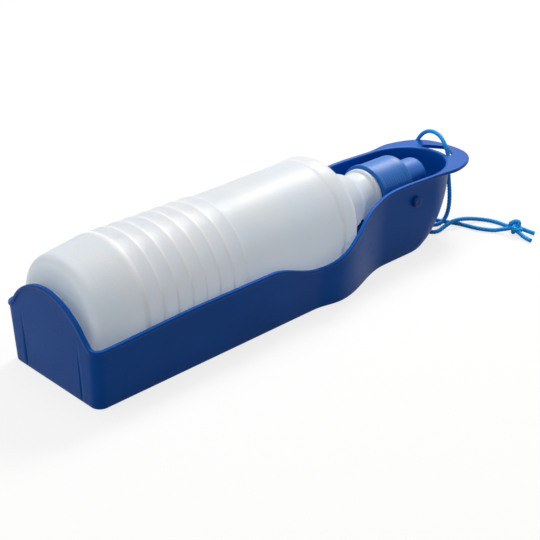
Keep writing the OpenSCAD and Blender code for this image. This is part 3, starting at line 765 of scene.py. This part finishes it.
def foot_profile():
    """The dish in the base, the foot's round and the taper up to the first ridge."""
    cone, soft = BELLY_R - FOOT_TAPER, FOOT_ROUND
    dish = ((2, 0), (2, DISH_R), (1.4, 9.4), (0.5, 10.5), (0.08, 11.3), (0, STAND_R))
    points = [(FOOT_X + deep, r) for deep, r in dish]
    for k in range(11):
        a = math.pi / 2 * k / 10
        points.append((FOOT_X + soft * (1 - math.cos(a)), cone - soft * (1 - math.sin(a))))
    back, front = FOOT_X + soft, FIRST_RIDGE
    return points + [(between(back, front, k / 8), between(cone, BELLY_R, k / 8)) for k in range(1, 8)]


def ridge_profile():
    """Shallow hollows whose ridges are thin, and the step down to the smooth band."""
    points = []
    for i in range(RIDGES - 1):
        for k in range(16):
            f = k / 16
            points.append((FIRST_RIDGE + (i + f) * PITCH, BELLY_R - HOLLOW * math.sin(math.pi * f) ** 0.6))
    falls = ((0, 0), (0.35, 0.12), (0.9, 0.8), (1.5, BAND_DROP))
    return points + [(LAST_RIDGE + along, BELLY_R - drop) for along, drop in falls]


def dome_profile():
    """The smooth band, the step up to the shoulder, and the shoulder's round."""
    drop = SHOULDER_R - CREASE_R - DOME_R * (1 - math.cos(DOME_SLOPE))
    end = CREASE_X - drop / math.tan(DOME_SLOPE)
    start = end - DOME_R * math.sin(DOME_SLOPE)
    band = [(between(LAST_RIDGE + 1.5, STEP_X, k / 10),
             between(BELLY_R - BAND_DROP, SHOULDER_R - STEP_UP, k / 10)) for k in range(1, 11)]
    band += [(STEP_X + STEP_LONG * u, SHOULDER_R - STEP_UP * (1 - step(0, 1, u)))
             for u in (0.2, 0.4, 0.6, 0.8, 1)]
    return band + [(start + DOME_R * math.sin(a), SHOULDER_R - DOME_R * (1 - math.cos(a)))
                   for a in (DOME_SLOPE * k / 14 for k in range(15))]


outer_skin = foot_profile() + ridge_profile() + dome_profile()
print("the shoulder's round ends at", [round(v, 1) for v in outer_skin[-1]], "mm")

# %% The neck and the inner skin
FLARE_X, REST, NECK_RING_R = CREASE_X + 12, 13.6, 13.9
neck_skin = rounded([
    (*outer_skin[-1], 0), (CREASE_X, CREASE_R, 1.2), (FLARE_X, CREASE_R - 2.3, 1.2),
    (FLARE_X + 0.22 * REST, NECK_R + 1.4, 1.5), (FLARE_X + 0.54 * REST, NECK_R + 0.5, 2),
    (RING_BACK, NECK_R + 0.7, 0.5), (RING_BACK + 0.3, NECK_RING_R, 0.4), (RING_FRONT, NECK_RING_R, 0.5),
    (RING_FRONT, NECK_R, 0.3), (MOUTH_X, NECK_R, 0.4), (MOUTH_X, NECK_R - 1.6, 0.4),
    (FLARE_X + 0.4 * REST, NECK_R - 1.6, 2), (FLARE_X, CREASE_R - 3.5, 2),
    (CREASE_X - 0.5, CREASE_R - BOTTLE_WALL, 0)])


def inner_profile():
    """The inside from the shoulder back to the dish, one wall within the outer skin."""
    dome = dome_profile()[9:]
    points = []
    for (x, r), (nx, nr) in list(zip(dome, dome[1:]))[::-1]:
        slope = math.atan2(r - nr, nx - x)
        points.append((x - BOTTLE_WALL * math.sin(slope), r - BOTTLE_WALL * math.cos(slope)))
    band, ridges = BELLY_R - BAND_DROP - BOTTLE_WALL, BELLY_R - HOLLOW - BOTTLE_WALL
    points += [(LAST_RIDGE + 1.5, band), (LAST_RIDGE, band)]
    points += [(LAST_RIDGE - PITCH, ridges), (FIRST_RIDGE, ridges)]
    reach = FOOT_ROUND - BOTTLE_WALL
    for k in range(6):
        a = math.pi / 2 * (1 - k / 5)
        points.append((FOOT_X + FOOT_ROUND - reach * math.cos(a),
                       BELLY_R - FOOT_TAPER - FOOT_ROUND + reach * math.sin(a)))
    return points + [(FOOT_X + deep + BOTTLE_WALL, r) for deep, r in ((0, STAND_R), (2, DISH_R), (2, 0))]


inner_skin = inner_profile()
print("points of the neck and the inside:", len(neck_skin), len(inner_skin))

# %% The thread, and the whole skin
THREAD_LEAD = 2.7


def thread_ridge(name, start, root, crest):
    """One and a half turns of thread, fading in and out of the neck at its ends."""
    points, steps = [], 72
    for i in range(steps + 1):
        a = 3 * math.pi * i / steps
        fade = min(1, i / 8, (steps - i) / 8)
        top = between(root + 0.35, crest, fade)
        x = start + THREAD_LEAD * a / (2 * math.pi)
        for along, r in ((-0.65, root), (-0.3, top), (0.3, top), (0.65, root)):
            points.append((PIVOT_X + x + along, r * math.cos(a), AXIS_Z + r * math.sin(a)))
    last = steps * 4
    faces = ring_faces(steps + 1, 4) + [(3, 2, 1, 0), (last, last + 1, last + 2, last + 3)]
    return mesh_piece(name, points, faces, sharp=30)


def ridge_highlight_share(x):
    """How near a place on the axis is to a ridge line or the shoulder's step, from 0 to 1; it places a
    painted highlight.
    """
    lines = [FIRST_RIDGE + i * PITCH for i in range(RIDGES)] + [SHOULDER_X + 5.0]
    return max(math.exp(-((x - line) / 0.55) ** 2) for line in lines)


bottle_skin = turned("bottle_skin", outer_skin[:-1] + neck_skin + inner_skin, sides=160, sharp=30)
cut_with(bottle_skin, [thread_ridge("thread", RING_FRONT + 2.2, NECK_R - 0.3, 13.0)], "UNION", 30)
# The crest value paints a highlight on the bottle along its ridge lines and the shoulder's step.
crest = bottle_skin.data.attributes.new("crest", "FLOAT", "POINT")
crest.data.foreach_set("value", [ridge_highlight_share(v.co.x / MM - PIVOT_X) for v in bottle_skin.data.vertices])
print("bottle faces:", len(bottle_skin.data.polygons))

# %% [markdown]
# Undyed polyethylene is milky: light wanders in the wall and comes out elsewhere, so even the
# shaded side glows. Subsurface scattering would show that, but it is slow in a thin shell, and
# mixing in a little of the Translucent shader lets light through both skins at once. The inner
# skin is nearly clear, or the wall would count twice. The blow mould leaves a fine orange-peel
# skin, so the highlight is broad and soft. Along the ridge lines and the shoulder's step the
# colour is painted whiter and lets less light through: a painted highlight.

# %% Milky plastic
def milky_plastic(name, cool, warm, glow, clear=0.0):
    """Undyed plastic: glow is the share of light let through, clear the share not scattered."""
    material, tree, shader, output = new_material(name)
    surface = add_moulded_surface(tree, 0.4, 0.35, 0.1)
    patches = add_node(tree, "ShaderNodeMapRange", Value=surface["Tone"], From_Min=0.35, From_Max=0.65)
    # Near the ridge lines the colour goes whiter and less light goes through: a painted highlight.
    crest = stored_value(tree, "crest")
    colour = add_blend(tree, patches.outputs[0], cool, warm)
    set_inputs(tree, shader, Base_Color=add_blend(tree, crest, colour, (1.0, 0.99, 0.98, 1)),
               Roughness=surface["Roughness"], Normal=surface["Normal"])
    through = add_node(tree, "ShaderNodeBsdfTranslucent", Color=(0.9, 0.945, 0.975, 1),
                       Normal=surface["Normal"])
    less = add_maths(tree, "MULTIPLY_ADD", crest, -0.55 * glow, glow)
    skin = add_mix(tree, less, shader.outputs[0], through.outputs[0])
    if clear:
        skin = add_mix(tree, clear, skin, tree.nodes.new("ShaderNodeBsdfTransparent").outputs[0])
    tree.links.new(skin, output.inputs[0])
    return material


COOL_WHITE, WARM_WHITE = srgb(238, 245, 250), srgb(252, 250, 247)
bottle_milky = milky_plastic("bottle_milky", COOL_WHITE, WARM_WHITE, 0.5)
dress(bottle_skin, bottle_milky, "bottle", "bottle")
bottle_skin.data.materials.append(milky_plastic("bottle_inside", COOL_WHITE, WARM_WHITE, 0.5, clear=0.88))
for polygon in bottle_skin.data.polygons:
    centre, normal = polygon.center, polygon.normal
    outward = centre.y * normal.y + (centre.z - AXIS_Z * MM) * normal.z
    in_skin = (PIVOT_X + FOOT_X + 0.5) * MM < centre.x < (PIVOT_X + FLARE_X) * MM
    polygon.material_index = 1 if in_skin and outward < -1e-6 else 0
print("faces inside the bottle:", sum(p.material_index for p in bottle_skin.data.polygons))

# %% [markdown]
# ## The cap
#
# The screw cap is turned in the mould as well: fine rings round its skirt give wet fingers a
# hold. They are real grooves in the mesh. A bump would do for the picture, but grooves are part
# of the shape itself. Inside are the bore for the neck, the web, and the
# spigot that the nozzle turns on. Two bosses take the pivot pins.

# %% The cap's profile
CAP_BACK, CAP_FRONT, SKIRT_R, FLANGE_R, BORE_R = -13.1, 10.9, 15.12, 15.62, 13.22
SEAL_FRONT, WEB_FRONT, KEEPER_BACK, SPIGOT_R, SPIGOT_END = 2.1, 4.3, 9.3, 5.0, 25.4
NOZZLE_R, RUN_GAP, CHANNEL_R, PORT_R, PORT_X = 9.5, 0.07, 2.4, 1.5, 19.9
BOSS_R, BOSS_ROOT, BOSS_END, PIN_R, PIN_GRIP, PIN_HEAD = 4.6, 13.4, 21.32, 3.0, 4.5, 25.42
RING_PITCH, RING_DEEP, RING_WIDE, SEAT_R = 1.7, 0.09, 0.6, 3.87


def cap_profile():
    """The cap's closed outline: skirt and grooves, front face, keeper, spigot, web and bore."""
    start, end = CAP_BACK + 3.2, CAP_FRONT - 2.6
    grooves = []
    for k in range(int((end - start) / RING_PITCH)):
        x = start + k * RING_PITCH
        grooves += [(x, SKIRT_R, 0), (x + RING_WIDE / 2, SKIRT_R - RING_DEEP, 0), (x + RING_WIDE, SKIRT_R, 0)]
    outside = [(CAP_BACK, BORE_R, 0), (CAP_BACK, FLANGE_R, 0.5), (CAP_BACK + 1.8, FLANGE_R, 0.4),
               (CAP_BACK + 2.2, SKIRT_R, 0.3)] + grooves
    outside += [(CAP_FRONT, SKIRT_R, 1.0), (CAP_FRONT, NOZZLE_R + RUN_GAP, 0.3)]
    inside = [(KEEPER_BACK, NOZZLE_R + RUN_GAP, 0), (KEEPER_BACK, BORE_R, 0), (WEB_FRONT, BORE_R, 0),
              (WEB_FRONT, SPIGOT_R, 0), (11.2, SPIGOT_R, 0), (11.2, SEAT_R, 0), (12.6, SEAT_R, 0),
              (12.6, SPIGOT_R, 0), (SPIGOT_END, SPIGOT_R, 0.3), (SPIGOT_END, 0, 0), (SPIGOT_END - 1.5, 0, 0),
              (SPIGOT_END - 1.5, CHANNEL_R, 0), (SEAL_FRONT, CHANNEL_R, 0), (SEAL_FRONT, BORE_R, 0)]
    return rounded(outside + inside)


print("cap profile points:", len(cap_profile()))

# %% Build the cap
def boss(name, side):
    """A boss for a pivot pin, with a rounded outer edge, reaching into the cap's skirt."""
    root, end = side * BOSS_ROOT, side * BOSS_END
    profile = [(root, 0, 0), (root, BOSS_R, 0), (end, BOSS_R, 0.5), (end, 0, 0)]
    return turned(name, rounded(profile), sides=64, across=True)


def plug(name, start, end, radius):
    """A plain round cutter along the pins' axis."""
    return turned(name, [(start, 0), (start, radius), (end, radius), (end, 0)], sides=48, across=True)


cap_skin = turned("cap_skin", cap_profile(), sides=144, sharp=35)
cut_with(cap_skin, [boss("boss_near", -1), boss("boss_far", 1)], "UNION", 35)
cut_with(cap_skin, [plug("socket_near", -BOSS_END - 1, PIN_GRIP - BOSS_END, PIN_R),
                    plug("socket_far", BOSS_END - PIN_GRIP, BOSS_END + 1, PIN_R)], sharp=35)
cap_blue = moulded_plastic("cap_blue", srgb(2, 92, 172), srgb(4, 112, 198), 0.45, 0.44, 0.2, 0.15)
dress(cap_skin, cap_blue, "cap", "screw_cap")
print("cap faces:", len(cap_skin.data.polygons))

# %% [markdown]
# ## The nozzle and the pins
#
# The nozzle turns a quarter on the spigot to open the two flat ways that the water takes inside
# it. Its flange is trapped behind the cap's keeper. The pins are pressed into the bosses, and
# their round heads stand out of the trough's walls. Each head has a soft edge and a very shallow
# dish, as moulded pins have.

# %% The nozzle
TIP, TIP_WALL, BORE = 30.0, 4.0, SPIGOT_R + RUN_GAP
FLANGE_BACK, FLANGE_FRONT, NOZZLE_FLANGE_R = WEB_FRONT + 1, KEEPER_BACK - 0.2, BORE_R - 1
WAY_LOW, WAY_HIGH = 4.0, 6.6
nozzle_profile = rounded([
    (FLANGE_BACK, BORE, 0), (FLANGE_BACK, NOZZLE_FLANGE_R, 0.3), (FLANGE_FRONT, NOZZLE_FLANGE_R, 0.3),
    (FLANGE_FRONT, NOZZLE_R, 0), (CAP_FRONT + 0.5, NOZZLE_R, 0), (TIP, NOZZLE_R, 2.9),
    (TIP, PORT_R, 0.5), (TIP - TIP_WALL, PORT_R, 0), (TIP - TIP_WALL, BORE, 0)])
nozzle_skin = turned("nozzle_skin", nozzle_profile, sides=112, sharp=40)
back, front = PIVOT_X + PORT_X - PORT_R, PIVOT_X + TIP - TIP_WALL
water_way = [(back, -PORT_R), (front, -PORT_R), (front, PORT_R), (back, PORT_R)]
cut_with(nozzle_skin, [prism("way_top", water_way, AXIS_Z + WAY_LOW, AXIS_Z + WAY_HIGH),
                       prism("way_low", water_way, AXIS_Z - WAY_HIGH, AXIS_Z - WAY_LOW)], sharp=40)
dress(nozzle_skin, nozzle_blue, "nozzle", "twist_nozzle")
print("nozzle faces:", len(nozzle_skin.data.polygons))

# %% The pins
for side, name, node in ((-1, "pin_near", "pivot_pin_near"), (1, "pin_far", "pivot_pin_far")):
    root, head = side * (BOSS_END - PIN_GRIP), side * PIN_HEAD
    profile = rounded([(root, 0, 0), (root, PIN_R, 0.3), (head, PIN_R, 0.9), (head, 1.2, 0.5),
                       (head - side * 0.18, 0, 0)])
    pin = turned(name, profile, sides=64, across=True)
    dress(pin, shaded_pin_blue, "cap", node)
    print(name, "reaches", round(max(abs(v.co.y) for v in pin.data.vertices) / MM, 2), "mm from the middle")

# %% [markdown]
# ## The sealed inner pieces
#
# The foam seal and the O-ring keep the shapes that they arrive with, and only get a finish. Foam
# has fine cells and rubber has a dull bloom, and both come from noise in the bump.

# %% Foam and rubber
def pressed_material(name, deep, light, roughness, cells):
    """Foam or rubber: cells of the given fineness move the colour and the surface."""
    material, tree, shader, output = new_material(name)
    noise = add_node(tree, "ShaderNodeTexNoise", Vector=object_place(tree), Scale=cells, Detail=4.0)
    bump = add_node(tree, "ShaderNodeBump", Height=noise.outputs[0], Distance=0.0003, Strength=0.4)
    set_inputs(tree, shader, Base_Color=add_blend(tree, noise.outputs[0], deep, light), Roughness=roughness,
               Normal=bump.outputs[0])
    return material


seal_foam = pressed_material("seal_foam", srgb(216, 214, 206), srgb(240, 239, 233), 0.8, 2200.0)
ring_rubber = pressed_material("ring_rubber", srgb(22, 23, 26), srgb(40, 42, 46), 0.55, 900.0)
for node, material in (("neck_seal", seal_foam), ("nozzle_o_ring", ring_rubber)):
    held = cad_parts[node].data.materials
    held.clear()
    held.append(material)
    print(node, "gets", material.name)

# %% [markdown]
# ## The studio
#
# The floor is pale and looks white to the camera. Is Camera Ray makes the floor and the sky
# white only where they are seen, in the plastic's shine too, so the lamps can stay at a plain
# level. The floor is darker for the light that it throws back, which keeps the steep walls deep
# in colour.

# %% The floor
def seen_share(tree):
    """1 for light that the camera sees, straight, mirrored or through the plastic, otherwise 0."""
    path = tree.nodes.new("ShaderNodeLightPath").outputs
    mirrored = add_maths(tree, "MAXIMUM", path["Is Glossy Ray"], path["Is Transmission Ray"])
    return add_maths(tree, "MAXIMUM", path["Is Camera Ray"], mirrored)


def stage_floor(low):
    """A wide pale floor just under the object; it is white where it is seen, but keeps shadows."""
    material, tree, shader, output = new_material("pale_floor")
    grain = add_node(tree, "ShaderNodeTexNoise", Vector=object_place(tree), Scale=60.0, Detail=3.0)
    dark = add_blend(tree, grain.outputs[0], (0.23, 0.24, 0.25, 1), (0.25, 0.26, 0.27, 1))
    seen = seen_share(tree)
    set_inputs(tree, shader, Base_Color=add_blend(tree, seen, dark, (0.9, 0.9, 0.9, 1)), Roughness=0.9,
               Specular_IOR_Level=0.0)
    white = add_node(tree, "ShaderNodeEmission", Color=(1, 1, 1, 1), Strength=1.0)
    share = add_maths(tree, "MULTIPLY", seen, 0.78)
    tree.links.new(add_mix(tree, share, shader.outputs[0], white.outputs[0]), output.inputs[0])
    mesh = bpy.data.meshes.new("floor")
    mesh.from_pydata([(x, y, low) for x, y in ((-3, -3), (3, -3), (3, 3), (-3, 3))], [], [(0, 1, 2, 3)])
    floor = bpy.data.objects.new("floor", mesh)
    bpy.context.collection.objects.link(floor)
    floor.data.materials.append(material)
    return floor


FLOOR_Z = -0.0001
floor = stage_floor(FLOOR_Z)
print("floor spans, m:", [round(v, 1) for v in floor.dimensions])

# %% The sky
def studio_sky(fill):
    """White where it is seen or mirrored, and a weak even fill for everything else."""
    world = bpy.data.worlds.new("studio_sky")
    bpy.context.scene.world = world
    world.use_nodes = True
    tree = world.node_tree
    tree.nodes.clear()
    soft = add_node(tree, "ShaderNodeBackground", Color=(0.97, 0.98, 1.0, 1), Strength=fill)
    white = add_node(tree, "ShaderNodeBackground", Color=(1, 1, 1, 1), Strength=1.0)
    sky = add_mix(tree, seen_share(tree), soft.outputs[0], white.outputs[0])
    add_node(tree, "ShaderNodeOutputWorld", Surface=sky)


SKY_FILL = 0.28
studio_sky(SKY_FILL)
print("sky fill:", SKY_FILL)

# %% The lamps
def soft_lamp(name, eye, aim, size, power, colour=(1, 1, 1)):
    """A large rectangular area lamp, so that shadows and highlights are soft."""
    lamp = bpy.data.lights.new(name, "AREA")
    lamp.shape, lamp.size, lamp.size_y = "RECTANGLE", size[0], size[1]
    lamp.energy, lamp.color = power, colour
    holder = bpy.data.objects.new(name, lamp)
    bpy.context.collection.objects.link(holder)
    holder.matrix_world = aim_matrix(Vector(eye), Vector(aim))
    return holder


lamps = [soft_lamp("key", (0.70, 0.30, 0.84), (0, 0, 0.03), (0.3, 0.3), 9.2, (1, 0.97, 0.935)),
         soft_lamp("overhead", (-0.18, 0.16, 0.95), (0, 0, 0.02), (0.8, 0.6), 4.2, (1, 0.96, 0.915)),
         soft_lamp("left_side", (-0.95, 0.25, 0.42), (-0.05, 0, 0.03), (0.5, 0.5), 0.8)]
print("lamps:", [(lamp.name, lamp.data.energy) for lamp in lamps])
